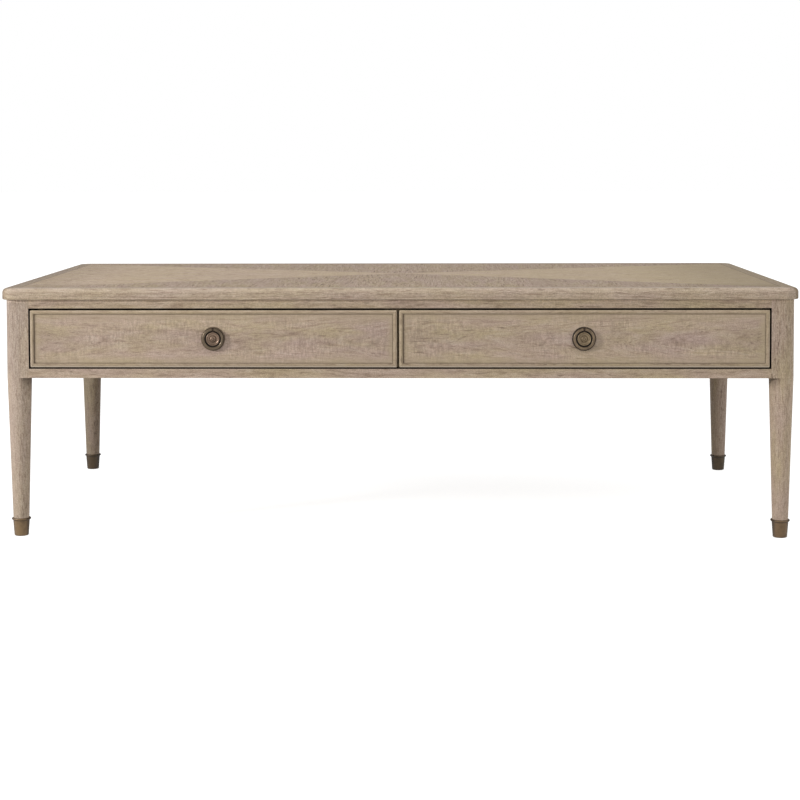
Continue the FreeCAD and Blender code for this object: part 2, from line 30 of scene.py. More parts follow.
ends = ("front", "back")
sides = ("left", "right")

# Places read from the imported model: the plane of the drawer fronts, the underside of the top,
# and the foot of the square posts, where the round legs begin
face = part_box("front_top_rail")[0].y
under_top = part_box("front_top_rail")[1].z
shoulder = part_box("side_apron_left")[0].z

# Camera
camera_place = Vector((0.0576, -3.6244, 0.6975))
camera_yaw = -0.02543
camera_pitch = 0.04714
camera_roll = -0.00273
image_size = 800
focal_length_pixels = 1800
optical_centre_pixels = (384, 240)
sensor_width = 36

# Light of the room, and of each lamp: azimuth from the front, elevation, distance, size and
# strength, where 1 lights a surface that faces the lamp as much as a white room does
room_light = 0.85
lamps = {
    "left": (-60, 17, 4.0, 0.4, 0.52),
    "right": (45, 28, 5.0, 2.5, 0.12),
}
lamp_aim = Vector((0, 0, 0.23))

# Floor
floor_half = 30
floor_tone = 0.40
floor_glow = 0.84

# Colours of the wood, as they look on a screen: the two tones of each kind of board
oak_tones = ((180, 161, 144), (179, 162, 135))
bead_tones = ((180, 160, 136), (180, 161, 130))
rail_tones = ((181, 159, 142), (180, 162, 130))
front_tones = ((181, 158, 145), (180, 162, 132))
pale_leg_tones = ((181, 162, 147), (179, 161, 139))
plain_tones = ((202, 178, 140), (188, 160, 120))

# Colours of the stains, and of the painted highlight and painted shade
rose = (184, 160, 150)
olive = (170, 155, 124)
border_olive = (146, 130, 100)
front_olive = (166, 149, 122)
# Pale wash of the grain, also laid as a painted highlight on the front arris and on the outer edges of the
# beads
pale_wash_and_highlight = (208, 193, 174)
grain_brown = (128, 106, 88)
pore_brown = (96, 76, 60)
# Brown glaze in joints and quirks, also laid as painted shade under the shoulders of the legs and as
# painted shadow in the left quirks
glaze_and_shade_brown = (66, 49, 34)
# Painted shade: near-black laid on the walls of the drawer gaps and openings, which are only in shadow
gap_shade_brown = (22, 11, 3)

# Figure of the wood: size of each layer along and across the grain
slow_size = (0.450, 0.110)
fine_size = (0.070, 0.014)
drift_size = (0.090, 0.045)
streak_size = (0.026, 0.0014)
speckle_size = (0.005, 0.0011)
pore_size = (0.014, 0.0007)
patch_size = (0.160, 0.040)
blush_size = (0.030, 0.011)
ripple_size = (0.0032, 0.014)
ripple_patch_size = (0.110, 0.050)
fleck_size = (0.0018, 0.0016)
heartwood_size = (0.130, 0.060)

# Figure of the wood: the span of noise over which each mark comes in
pale_streaks = (0.50, 0.28)
dark_streaks = (0.50, 0.72)
plain_streaks = (0.45, 0.75)
speckles = (0.48, 0.72)
pores = (0.56, 0.70)
patches = (0.30, 0.70)
blushes = (0.35, 0.70)
rippled_patches = (0.38, 0.62)
flecks = (0.30, 0.70)

# Figure of the wood: how strongly each mark stains oak at a contrast of 1, and plain wood
wash_share = 0.30
streak_share = 0.46
speckle_share = 0.30
pore_share = 0.62
plain_ring_share = 0.30
plain_streak_share = 0.22
plain_speckle_share = 0.16

# Growth rings: parts of a year over which the dark line comes and goes, the weakest line's
# strength, how far the rings wander, how far they waver as a share of their width, and a count
# of years that keeps the age above zero
line_rise = (0.0, 0.2)
line_fall = (0.9, 0.25)
weakest_line = 0.3
ring_wander = 0.010
ring_waver = 0.5
first_year = 1000.0

# Seeds that keep the layers of one board apart, and steps from one board to the next, with
# how far apart their grain starts
fine_seed = 5.3
streak_seed = 9.1
pore_seed = 2.7
speckle_seed = 6.1
patch_seed = 7.7
blush_seed = 3.9
ripple_seed = 1.7
start_step = 1.7
start_reach = 5
drift_step = 1.3
figure_step = 3.1
fleck_step = 2.3

# Number of the first board of each kind: the number of a board sets its figure
first_board = {
    "border": 1, "leg": 10, "rail": 14, "inner": 19, "partition": 21, "stops": 22, "block": 24,
    "front": 30, "bead": 40, "box_side": 50, "box_back": 54, "box_bottom": 56,
}

# Distances of the hearts of the trees from their boards
heart_far = 0.03
heart_near = 0.02
leg_heart = 0.015
border_heart = 0.01
front_heart = 0.060
front_heart_drop = 0.004
side_heart = 0.2

# Places of the hearts of the smallest boards, in the two directions across their grain
partition_heart = (0.03, 0.30)
stop_heart = (0.25, -0.30)
bead_heart = (0.1, 0.1)

# Relief and gloss of each surface
oak_relief = 0.0002
veneer_relief = 0.0001
plain_relief = 0.00015
metal_relief = 0.00008
steel_relief = 0.00005
oak_gloss = 0.3
matt_gloss = 0.06

# Veneer of the top: width of a leaf, and how far behind the middle the quarters meet
leaf_width = 0.165
centre_shift = 0.03

# Border of the top: looks of each board, and the tone of its upper face
border_looks = {
    "front": dict(tone=0.96, contrast=1.45, gloss=0.2, fleck=0.14),
    "back": dict(tone=0.95, contrast=1.5, gloss=matt_gloss, fleck=0.10),
    "left": dict(tone=0.95, contrast=1.6, gloss=matt_gloss, fleck=0.10),
    "right": dict(tone=0.90, contrast=1.9, gloss=matt_gloss, fleck=0.10),
}
border_upper_tones = {"front": 0.84, "back": 0.70, "left": 0.66, "right": 0.64}

# Painted shade on each leg at its left and right sides, darkest on the back legs as if in the shadow under
# the table, and the tone of the back legs where they face out
leg_shade_tones = {
    ("front", "left"): (0.88, 0.99),
    ("front", "right"): (0.97, 0.97),
    ("back", "left"): (0.45, 0.72),
    ("back", "right"): (0.77, 0.77),
}
outward_tone = 0.92

# Legs: looks of all four, and the contrast of the grain on the round taper and on the square
# post above it
leg_looks = dict(ring=0.005, ring_share=0.07, wave=0.002, fleck=0.12, blush=0.15, spread=0.8)
taper_contrast = 1.2
post_contrast = 1.5

# Rails and aprons: looks of those in front, and of the others
front_rail_looks = dict(tones=rail_tones, contrast=1.15, fleck=0.14)
apron_looks = dict(contrast=1.35, fleck=0.06)

# Drawer fronts: looks of the field, slope and bow of the heart of its tree, how far its ends
# are shaded, and how far its quirk, its olive edges, its glaze (at its left end partly painted shadow) and
# the painted shade of the gap reach
front_looks = dict(
    tones=front_tones, tone=0.912, ring=0.0055, ring_share=0.05, ripple=0.085, fleck=0.10, stretch=1.8,
)
front_bends = {"left": (0.0, -0.10), "right": (-0.04, -0.03)}
left_end_shade = 0.11
right_end_shades = {"left": 0.17, "right": 0.11}
quirk_width = 0.0013
olive_reach = 0.016
glaze_reach = 0.0024
left_glaze_and_shadow_reach = 0.0045
gap_shade_depth = 0.005
gap_shade_end = 0.014

# Cock beads: tone of each, the share of its glaze, partly painted shadow on the left bead, and the share of
# the painted highlight along its outer edge
bead_looks = {
    "top": (0.88, 0.10, 0.15),
    "bottom": (0.79, 0.25, 0.75),
    # The left bead's larger glaze share is partly painted shadow from the lamp on the left
    "left": (0.86, 0.40, 0.15),
    "right": (0.86, 0.10, 0.15),
}

# Drawer boxes: tone of their maple, and of the plywood bottoms with their wide rings
maple_tone = 1.06
plywood_tone = 1.12
plywood_ring = 0.012

# Metal: crest and hollow of each piece, as they look on a screen, roughness and metallic share
ring_crests = {"left": (98, 84, 67), "right": (116, 99, 78)}
ring_finish = ((44, 34, 24), 0.30, 0.6)
rosette_crests = {"left": (126, 105, 88), "right": (128, 111, 86)}
rosette_finish = ((54, 41, 30), 0.34, 0.6)
plate_crests = {"left": (98, 82, 64), "right": (54, 42, 30)}
plate_finish = ((30, 23, 15), 0.40, 0.4)
ferrule_colours = {
    ("front", "left"): ((118, 95, 65), (68, 52, 36)),
    ("front", "right"): ((108, 85, 58), (60, 46, 31)),
    # The much darker colours of the back ferrules are painted shade, as under the table
    ("back", "left"): ((68, 52, 29), (40, 28, 15)),
    ("back", "right"): ((69, 53, 31), (41, 30, 18)),
}
ferrule_finish = (0.42, 0.3)
steel_colours = ((150, 148, 142), (104, 102, 98))

# Dirt on the rosette: radii over which each ring of it comes in and goes out, and its
# strength, round the dome, inside the rim and round the button, and then the outer edge
dirt_rings = (
    ((0.0054, 0.0062), (0.0076, 0.0064), 0.4),
    ((0.0092, 0.0099), (0.0106, 0.0100), 0.5),
    ((0.0020, 0.0024), (0.0034, 0.0026), 0.8),
)
rosette_edge = (0.0120, 0.0126)
plate_edge = (0.0206, 0.0198)


def from_screen(colour):
    """Linear colour of three screen values from 0 to 255."""

    def linear(value):
        share = value / 255
        return share / 12.92 if share <= 0.04045 else ((share + 0.055) / 1.055) ** 2.4

    return (*[linear(value) for value in colour], 1.0)


class Tree:
    """Short forms for the nodes of a material or of the world."""

    def __init__(self, owner):
        owner.use_nodes = True
        self.owner = owner
        self.tree = owner.node_tree
        self.tree.nodes.clear()

    def node(self, kind, **settings):
        made = self.tree.nodes.new("ShaderNode" + kind)
        for setting, value in settings.items():
            setattr(made, setting, value)
        return made

    def feed(self, socket, value):
        """Links a socket to another one, or gives it a plain value."""
        if isinstance(value, bpy.types.NodeSocket):
            self.tree.links.new(value, socket)
        else:
            socket.default_value = value

    def fill(self, made, values):
        """Feeds the inputs of a node in their order."""
        for socket, value in zip(made.inputs, values):
            self.feed(socket, value)
        return made.outputs[0]

    def math(self, operation, *values):
        return self.fill(self.node("Math", operation=operation), values)

    def add(self, a, b):
        return self.math("ADD", a, b)

    def less(self, a, b):
        return self.math("SUBTRACT", a, b)

    def times(self, a, b):
        return self.math("MULTIPLY", a, b)

    def over(self, a, b):
        return self.math("DIVIDE", a, b)

    def times_add(self, a, b, c):
        """a times b, plus c."""
        return self.math("MULTIPLY_ADD", a, b, c)

    def size(self, a):
        return self.math("ABSOLUTE", a)

    def span(self, share, low, high):
        """Goes evenly from low, where the share is 0, to high, where it is 1."""
        return self.times_add(share, high - low, low)

    def swing(self, noise, reach):
        """A noise of 0 to 1 as a shift both ways of zero."""
        return self.span(noise, -reach, reach)

    def reach(self, a, b):
        """Distance from zero of a point of two coordinates."""
        return self.math("SQRT", self.add(self.times(a, a), self.times(b, b)))

    def fold(self, operation, values):
        found = values[0]
        for value in values[1:]:
            found = self.math(operation, found, value)
        return found

    def least(self, *values):
        return self.fold("MINIMUM", values)

    def most(self, *values):
        return self.fold("MAXIMUM", values)

    def combine(self, x, y, z):
        return self.fill(self.node("CombineXYZ"), (x, y, z))

    def place(self):
        """The three coordinates of the place in the frame, at rest."""
        made = self.node("SeparateXYZ")
        self.feed(made.inputs[0], self.node("TexCoord").outputs["Object"])
        return tuple(made.outputs)

    def stretched(self, spot, size, seed, detail=2.0, roughness=0.5):
        """Noise drawn out along the grain."""
        along, across, deep = spot
        length, width = size
        vector = self.combine(
            self.over(along, length), self.over(across, width), self.times_add(deep, 1 / width, seed)
        )
        made = self.node("TexNoise")
        self.feed(made.inputs["Vector"], vector)
        made.inputs["Scale"].default_value = 1.0
        made.inputs["Detail"].default_value = detail
        made.inputs["Roughness"].default_value = roughness
        return made.outputs["Fac"]

    def cloudy(self, size, detail, seed=0.0):
        """Noise of one size in every direction."""
        return self.stretched(self.place(), (size, size), seed, detail)

    def fade(self, value, start, end, low=0.0, high=1.0):
        """Smooth step of a value between two limits."""
        made = self.node("MapRange", interpolation_type="SMOOTHSTEP")
        return self.fill(made, (value, start, end, low, high))

    def mix(self, share, a, b):
        made = self.node("Mix", data_type="RGBA")
        for socket, value in zip((made.inputs[0], made.inputs[6], made.inputs[7]), (share, a, b)):
            self.feed(socket, value)
        return made.outputs[2]

    def stain(self, colour, share, screen_colour):
        """Lays a screen colour over another colour."""
        return self.mix(share, colour, from_screen(screen_colour))

    def shade(self, colour, factor):
        """Colour times a plain factor."""
        made = self.node("VectorMath", operation="MULTIPLY")
        return self.fill(made, (colour, self.combine(factor, factor, factor)))

    def output(self, shader, kind="Material"):
        self.feed(self.node("Output" + kind).inputs["Surface"], shader.outputs[0])
        return self.owner

    def surface(self, colour, roughness, height, relief, **values):
        shader = self.node("BsdfPrincipled")
        self.feed(shader.inputs["Base Color"], colour)
        self.feed(shader.inputs["Roughness"], roughness)
        for name, value in values.items():
            shader.inputs[name.replace("_", " ")].default_value = value
        bump = self.node("Bump")
        bump.inputs["Strength"].default_value = 1.0
        bump.inputs["Distance"].default_value = relief
        self.feed(bump.inputs["Height"], height)
        self.feed(shader.inputs["Normal"], bump.outputs[0])
        return self.output(shader)

    def seen_directly(self):
        """1 for what the camera, metal or glass sees, 0 for light that reaches other surfaces."""
        path = self.node("LightPath")
        rays = ("Is Camera Ray", "Is Glossy Ray", "Is Transmission Ray")
        return self.most(*[path.outputs[ray] for ray in rays])


def material_tree(name):
    return Tree(bpy.data.materials.new(name))


# Wood

Figure = namedtuple("Figure", "rings streak speckle pore patch blush")


def grain_spot(tree, grain, board, heart, bend=None, wave=0.0):
    """Place along the grain, across it and above the heart of the board's tree.

    bend is a centre, slope and bow of the heart along the grain, which open the rings into
    arches. wave moves the grain from side to side.
    """
    x, y, z = tree.place()
    along, across, deep = {"x": (x, z, y), "y": (y, x, z), "z": (z, x, y)}[grain]
    heart_across, heart_deep = heart
    deep = tree.less(deep, heart_deep)
    if bend:
        centre, slope, bow = bend
        run = tree.less(along, centre)
        deep = tree.add(deep, tree.add(tree.times(run, slope), tree.times(tree.times(run, run), bow)))
    spot = (
        tree.add(along, math.sin(board * start_step) * start_reach),
        tree.less(across, heart_across),
        deep,
    )
    if wave:
        drift = tree.swing(tree.stretched(spot, drift_size, board * drift_step), wave)
        spot = (spot[0], tree.add(spot[1], drift), spot[2])
    return spot


def growth_rings(tree, radius, ring, seed):
    """Dark line in the wood of each year, with a strength of its own."""
    age = tree.add(tree.over(radius, ring), first_year)
    part = tree.math("FRACT", age)
    year = tree.node("TexWhiteNoise", noise_dimensions="1D")
    tree.feed(year.inputs["W"], tree.add(tree.math("FLOOR", age), seed))
    strength = tree.span(year.outputs["Value"], weakest_line, 1.0)
    line = tree.times(tree.fade(part, *line_rise), tree.fade(part, *line_fall))
    return tree.times(line, strength)


def wood_figure(tree, spot, seed, ring, stretch=1.0, spread=0.05):
    """Growth rings, streaks, speckle, pores and two sizes of patch: values from 0 to 1.

    spread breaks the streaks up where a board is cut along its rings.
    """
    fine_detail = 3.0
    rough = 0.6
    pore_spread = 0.25
    fewest_pores = 0.3
    along, across, deep = spot
    slow = tree.stretched(spot, slow_size, seed)
    fine = tree.stretched(spot, fine_size, seed + fine_seed, fine_detail)
    radius = tree.add(tree.reach(across, deep), tree.swing(slow, ring_wander))
    radius = tree.add(radius, tree.swing(fine, ring * ring_waver))
    rings = growth_rings(tree, radius, ring, seed)
    drawn = tree.over(along, stretch)
    bent = (drawn, radius, tree.times(across, spread))
    streak = tree.stretched(bent, streak_size, seed + streak_seed, fine_detail, rough)
    bent = (drawn, radius, tree.times(across, pore_spread))
    pore = tree.fade(tree.stretched(bent, pore_size, seed + pore_seed, 1.0), *pores)
    pore = tree.times(pore, tree.span(rings, fewest_pores, 1.0))
    speckle = tree.stretched(bent, speckle_size, seed + speckle_seed, 2.0, rough)
    patch = tree.fade(tree.stretched(spot, patch_size, seed + patch_seed), *patches)
    blush = tree.fade(tree.stretched(spot, blush_size, seed + blush_seed), *blushes)
    return Figure(rings, streak, speckle, pore, patch, blush)


def washed(tree, figure, tones, contrast, ring_share, blush_share):
    """Colour, roughness and height of oak with a grey wash and glaze left in its grain."""
    least_rough, most_rough = 0.52, 0.68
    streak_height, pore_height, ring_height = 0.35, -0.6, -0.2
    colour = tree.mix(figure.patch, *[from_screen(tone) for tone in tones])
    stains = (
        (figure.blush, blush_share, rose),
        (tree.fade(figure.streak, *pale_streaks), tree.times(contrast, wash_share), pale_wash_and_highlight),
        (tree.fade(figure.streak, *dark_streaks), tree.times(contrast, streak_share), grain_brown),
        (figure.rings, ring_share, grain_brown),
        (tree.fade(figure.speckle, *speckles), tree.times(contrast, speckle_share), grain_brown),
        (figure.pore, tree.times(contrast, pore_share), pore_brown),
    )
    for mark, share, tint in stains:
        colour = tree.stain(colour, tree.times(mark, share), tint)
    roughness = tree.span(figure.streak, least_rough, most_rough)
    height = tree.times_add(figure.pore, pore_height, tree.times(figure.streak, streak_height))
    height = tree.times_add(figure.rings, ring_height, height)
    return colour, roughness, height


def flecked(tree, spot, colour, seed, ripple, fleck):
    """Faint figure that runs across the grain in places, and a fleck as fine as the fibres."""
    faintest, strongest = 0.2, 1.4
    where = tree.stretched(spot, ripple_patch_size, seed + ripple_seed, 1.0)
    ripple = tree.fade(where, *rippled_patches, faintest * ripple, strongest * ripple)
    for size, detail, swing in ((ripple_size, 1.0, ripple), (fleck_size, 0.0, fleck)):
        noise = tree.stretched(spot, size, seed, detail)
        tone = tree.fade(noise, *flecks, tree.less(1.0, swing), tree.add(1.0, swing))
        colour = tree.shade(colour, tone)
    return colour


def oak(name, grain, board, heart, marks, bend=None, tones=oak_tones, tone=1.0, ring=0.006,
        contrast=1.0, ring_share=0.12, wave=0.0, gloss=oak_gloss, ripple=0.03, fleck=0.04, blush=0.3,
        stretch=1.0, spread=0.05):
    """Washed oak, with the marks of one board.

    contrast is a number, or a function that makes one for each place.
    """
    tree = material_tree(name)
    if callable(contrast):
        contrast = contrast(tree)
    spot = grain_spot(tree, grain, board, heart, bend, wave)
    figure = wood_figure(tree, spot, board * figure_step, ring, stretch, spread)
    colour, roughness, height = washed(tree, figure, tones, contrast, ring_share, blush)
    colour = flecked(tree, spot, colour, board * fleck_step, ripple, fleck)
    colour = marks(tree, tree.shade(colour, tone))
    return tree.surface(colour, roughness, height, oak_relief, Specular_IOR_Level=gloss)


def plain_wood(name, grain, board, heart, ring=0.007, tone=1.0):
    """Unstained wood inside the carcass and the drawers."""
    least_rough, most_rough = 0.45, 0.65
    tree = material_tree(name)
    figure = wood_figure(tree, grain_spot(tree, grain, board, heart), board * figure_step, ring)
    colour = tree.mix(figure.patch, *[from_screen(plain_tone) for plain_tone in plain_tones])
    stains = (
        (figure.rings, plain_ring_share),
        (tree.fade(figure.streak, *plain_streaks), plain_streak_share),
        (tree.fade(figure.speckle, *speckles), plain_speckle_share),
    )
    for mark, share in stains:
        colour = tree.stain(colour, tree.times(mark, share), grain_brown)
    colour = tree.shade(colour, tone)
    roughness = tree.span(figure.streak, least_rough, most_rough)
    return tree.surface(colour, roughness, figure.streak, plain_relief, Specular_IOR_Level=oak_gloss)


# Veneer of the top


def leaf_spot(tree, along, across, side):
    """Leaf of veneer: its own number from 0 to 1, the place in its grain, and the way to its joint."""
    quarter_step, leaf_step, start = 0.37, 0.71, 7.0
    leaf_shift, leaf_depth, least_depth, slant = 0.02, 0.02, 0.03, 0.05
    leaf = tree.math("FLOOR", tree.add(tree.over(across, leaf_width), 0.5))
    within = tree.less(across, tree.times(leaf, leaf_width))
    quarter = tree.times_add(tree.math("SIGN", along), quarter_step, side)
    number = tree.node("TexWhiteNoise", noise_dimensions="2D")
    tree.feed(number.inputs["Vector"], tree.combine(tree.times(leaf, leaf_step), quarter, 0.0))
    number = number.outputs["Value"]
    depth = tree.times_add(number, leaf_depth, least_depth)
    spot = (
        tree.add(along, tree.times(quarter, start)),
        tree.add(within, tree.swing(number, leaf_shift)),
        tree.times_add(tree.size(along), slant, depth),
    )
    return number, spot, tree.less(leaf_width / 2, tree.size(within))


def veneer_tones(tree, colour, x, y, corner, side, end):
    """Tones of the quarters: painted sheen on the left and right ones and painted shade on the front and
    back ones, right end golden, and a shade by the border.
    """
    painted_side_sheen, end_tone, golden_share = 1.04, 0.82, 0.5
    right_start, right_tone = 0.62, 0.77
    left_start, left_tone = -0.80, 0.86
    front_start, front_full, front_tone = -0.70, -0.92, 0.86
    # Painted sheen and shade: left and right quarters lighter, front and back ones darker, as their grain
    # takes the light at another angle
    colour = tree.shade(colour, tree.span(end, painted_side_sheen, end_tone))
    golden = tree.times(tree.fade(x, 0.0, corner.x, 0.0, golden_share), side)
    colour = tree.stain(colour, golden, olive)
    right_end = tree.fade(x, corner.x * right_start, corner.x, 1.0, right_tone)
    left_end = tree.fade(x, corner.x * left_start, -corner.x, 1.0, left_tone)
    near_front = tree.fade(y, corner.y * front_start, corner.y * front_full, 1.0, front_tone)
    return tree.shade(colour, tree.times(tree.times(right_end, left_end), tree.most(near_front, end)))


def quartered_top(name):
    """Veneer in four quarters that meet on the diagonals, each with its grain to the middle.

    side is 1 in the left and right quarters, and end is 1 in the front and back ones.
    """
    seed, ring, spread, contrast, ring_share = 4.4, 0.007, 0.4, 1.7, 0.07
    side_stretch, end_stretch = 1.0, 3.5
    side_blush, end_blush = 0.10, 0.55
    dark_leaf, pale_leaf = 0.97, 1.03
    seam_width, seam_share = 0.0005, 0.5
    rim_reach, rim_full, rim_share = 0.0026, 0.0010, 0.55
    extra_roughness = 0.15
    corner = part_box("top_panel")[1]
    tree = material_tree(name)
    x, y, z = tree.place()
    shifted = tree.less(y, centre_shift)
    share_x = tree.over(tree.size(x), corner.x)
    share_y = tree.most(
        tree.over(shifted, corner.y - centre_shift), tree.over(shifted, -corner.y - centre_shift)
    )
    side = tree.math("GREATER_THAN", share_x, share_y)
    end = tree.less(1.0, side)
    along = tree.add(tree.times(side, x), tree.times(end, y))
    across = tree.add(tree.times(side, y), tree.times(end, x))
    number, spot, to_joint = leaf_spot(tree, along, across, side)
    figure = wood_figure(tree, spot, seed, ring, tree.span(end, side_stretch, end_stretch), spread)
    blush = tree.span(end, side_blush, end_blush)
    colour, roughness, height = washed(tree, figure, oak_tones, contrast, ring_share, blush)
    colour = tree.shade(colour, tree.span(number, dark_leaf, pale_leaf))
    colour = veneer_tones(tree, colour, x, y, corner, side, end)
    seam = tree.least(tree.times(tree.size(tree.less(share_x, share_y)), corner.y), to_joint)
    colour = tree.stain(colour, tree.fade(seam, seam_width, 0.0, 0.0, seam_share), grain_brown)
    rim = tree.least(tree.less(corner.x, tree.size(x)), tree.less(corner.y, tree.size(y)))
    colour = tree.stain(colour, tree.fade(rim, rim_reach, rim_full, 0.0, rim_share), glaze_and_shade_brown)
    roughness = tree.add(roughness, extra_roughness)
    return tree.surface(colour, roughness, height, veneer_relief, Specular_IOR_Level=matt_gloss)


# Marks of single boards: a pair of distances is where a mark begins and where it is full


def behind_face(tree, depth=0.0005):
    """1 behind the plane of the drawer fronts, 0 in front of it."""
    begins, full = 0.4, 1.4
    x, y, z = tree.place()
    return tree.fade(y, face + depth * begins, face + depth * full)


def border_marks(edge, low, high):
    """Border of the top, darker on its upper face, with glaze left along its outer edge and a painted
    highlight on its rounded front arris.
    """
    highlight_inward, highlight_down, highlight_share = (0.009, 0.006), (0.008, 0.004), 0.12
    upper_inward, upper_down = (0.006, 0.012), (0.007, 0.001)
    glaze_and_shade_inward, glaze_and_shade_share = (0.010, 0.004), 0.35
    olive_share = 0.4
    upper_tone = border_upper_tones[edge]

    def marks(tree, colour):
        x, y, z = tree.place()
        outline = {"front": (y, low.y), "back": (high.y, y), "left": (x, low.x), "right": (high.x, x)}
        inward = tree.less(*outline[edge])
        down = tree.less(high.z, z)
        if edge == "front":
            # Painted highlight: a pale band on the rounded front arris
            highlight_band = tree.least(tree.fade(inward, *highlight_inward), tree.fade(down, *highlight_down))
            colour = tree.stain(colour, tree.times(highlight_band, highlight_share), pale_wash_and_highlight)
            return tree.shade(colour, tree.fade(inward, *upper_inward, 1.0, upper_tone))
        colour = tree.shade(colour, tree.fade(down, *upper_down, 1.0, upper_tone))
        if edge == "right":
            colour = tree.stain(colour, olive_share, border_olive)
        return tree.stain(colour, tree.fade(inward, *glaze_and_shade_inward, 0.0, glaze_and_shade_share), glaze_and_shade_brown)

    return marks


def gap_marks(low, high):
    """Painted shade: near-black on what a board shows inside the drawer openings. Painted light just under
    the top, which lifts the shadow of its overhang.

    low and high are the corners of the space that the drawer fronts fill. Wood above low is a
    little darker.
    """
    darker_below, darker_tone = (0.030, 0.0), 0.90
    painted_light_down, painted_light_tone = (0.0070, 0.0020), 1.55
    beside_gap, behind_gap = (0.0009, 0.0001), (0.030, 0.020)

    def marks(tree, colour):
        x, y, z = tree.place()
        below = tree.less(low.z, z)
        colour = tree.shade(colour, tree.fade(below, *darker_below, 1.0, darker_tone))
        # Painted light: lighter just under the top, which lifts the shadow cast by its overhang
        colour = tree.shade(colour, tree.fade(tree.less(under_top, z), *painted_light_down, 1.0, painted_light_tone))
        # Painted shade: the walls of the openings turn near-black
        inside = tree.least(
            tree.fade(tree.less(tree.size(x), high.x), *beside_gap),
            tree.fade(below, *beside_gap),
            tree.fade(tree.less(z, high.z), *beside_gap),
            tree.fade(tree.less(y, face), *behind_gap),
        )
        return tree.stain(colour, inside, gap_shade_brown)

    return marks


def leg_contrast(tree):
    """Stronger figure on the square post than on the round taper below it."""
    blend = 0.010
    x, y, z = tree.place()
    return tree.fade(z, shoulder - blend, shoulder + blend, taper_contrast, post_contrast)


def leg_marks(end, side, low, high):
    """Tone of a leg with painted shade across it, painted shade under its shoulder, and on its post the
    painted shade of the openings and painted light under the top.

    A back leg has painted shade where it faces the space under the table.
    """
    glaze_and_shade_inward, glaze_and_shade_share = (-0.002, 0.016), 0.45
    shade_rise, shade_end = (-0.028, -0.003), (0.0004, -0.0004)
    dark_forward, dark_down = (0.014, 0.0), (0.10, 0.0)
    middle = (low + high) / 2
    post_marks = gap_marks(*opening_corners())

    def marks(tree, colour):
        x, y, z = tree.place()
        above = tree.less(z, shoulder)
        colour = post_marks(tree, colour)
        # Painted shade: darker just under the shoulder on the inner side, where the post overhangs the
        # round leg
        glaze_and_shade = tree.times(
            tree.fade(tree.less(abs(middle.x), tree.size(x)), *glaze_and_shade_inward),
            tree.least(tree.fade(above, *shade_rise), tree.fade(above, *shade_end)),
        )
        colour = tree.stain(colour, tree.times(glaze_and_shade, glaze_and_shade_share), glaze_and_shade_brown)
        # Painted shade: darker across the leg where the lamps light it most, and darkest on the back legs
        tone = tree.fade(x, low.x, high.x, *leg_shade_tones[end, side])
        if end == "back":
            # Painted shade: a back leg keeps its dark tone on the half that faces under the table, below
            # the shoulder
            under_table_shade = tree.least(
                tree.fade(tree.less(y, middle.y), *dark_forward), tree.fade(above, *dark_down)
            )
            tone = tree.times_add(under_table_shade, tree.less(tone, outward_tone), outward_tone)
        return tree.shade(colour, tone)

    return marks


def bead_marks(edge, glaze_and_shade_share, highlight_share, low, high):
    """Cock bead: painted highlight along its outer edge, glaze where it meets the quirk, partly painted
    shadow on the left bead, and painted shade in the gap.
    """
    ragged_size, ragged_detail, ragged_reach = 0.006, 3.0, 0.0012
    quirk_glaze_and_shadow, highlight_band = (0.0026, 0.0004), (0.0038, 0.0058)
    dark_behind, dark_share = (0.0065, 0.0025), 0.70

    def marks(tree, colour):
        x, y, z = tree.place()
        quirk = {"top": (z, low.z), "bottom": (high.z, z), "left": (high.x, x), "right": (x, low.x)}
        to_quirk = tree.less(*quirk[edge])
        ragged = tree.swing(tree.cloudy(ragged_size, ragged_detail), ragged_reach)
        inner = tree.fade(tree.add(to_quirk, ragged), *quirk_glaze_and_shadow, 0.0, glaze_and_shade_share)
        # Painted highlight: paler along the outer edge of the bead
        colour = tree.stain(colour, tree.fade(to_quirk, *highlight_band, 0.0, highlight_share), pale_wash_and_highlight)
        colour = tree.stain(colour, inner, glaze_and_shade_brown)
        # Painted shade: the bead turns near-black behind the face, inside the gap
        dark = tree.fade(tree.less(y, face), *dark_behind, dark_share, 1.0)
        return tree.stain(colour, tree.times(behind_face(tree), dark), gap_shade_brown)

    return marks


def heartwood(tree, colour, middle, seed):
    """Darker wood along the middle of a field, with a wandering edge."""
    wander_reach = 0.014
    dark_half, pale_half = 0.006, 0.030
    dark_tone, pale_tone = 0.955, 1.030
    x, y, z = tree.place()
    wander = tree.swing(tree.stretched((x, z, y), heartwood_size, seed), wander_reach)
    off_heart = tree.size(tree.add(tree.less(z, middle), wander))
    return tree.shade(colour, tree.fade(off_heart, dark_half, pale_half, dark_tone, pale_tone))


def field_glaze(tree, colour, inset, from_left):
    """Olive edges of a field, glaze in its quirk, and over its left end glaze that is partly painted shadow
    cast by the bead.
    """
    ragged_size, ragged_detail, ragged_reach = 0.005, 4.0, 0.0030
    olive_share, glaze_and_shade_share, left_glaze_and_shadow_share = 0.55, 0.05, 0.45
    ragged = tree.swing(tree.cloudy(ragged_size, ragged_detail), ragged_reach)
    ragged_inset = tree.add(inset, ragged)
    olive_edge = tree.fade(ragged_inset, olive_reach, 0.0, 0.0, olive_share)
    glaze_and_shade = tree.fade(ragged_inset, glaze_reach, 0.0, 0.0, glaze_and_shade_share)
    # Partly painted shadow: the left end of the field is darker where the bead shades it from the lamp on
    # the left
    left_glaze_and_shadow = tree.fade(tree.add(from_left, ragged), left_glaze_and_shadow_reach, 0.0, 0.0, left_glaze_and_shadow_share)
    colour = tree.stain(colour, olive_edge, front_olive)
    return tree.stain(tree.stain(colour, glaze_and_shade, glaze_and_shade_brown), left_glaze_and_shadow, glaze_and_shade_brown)


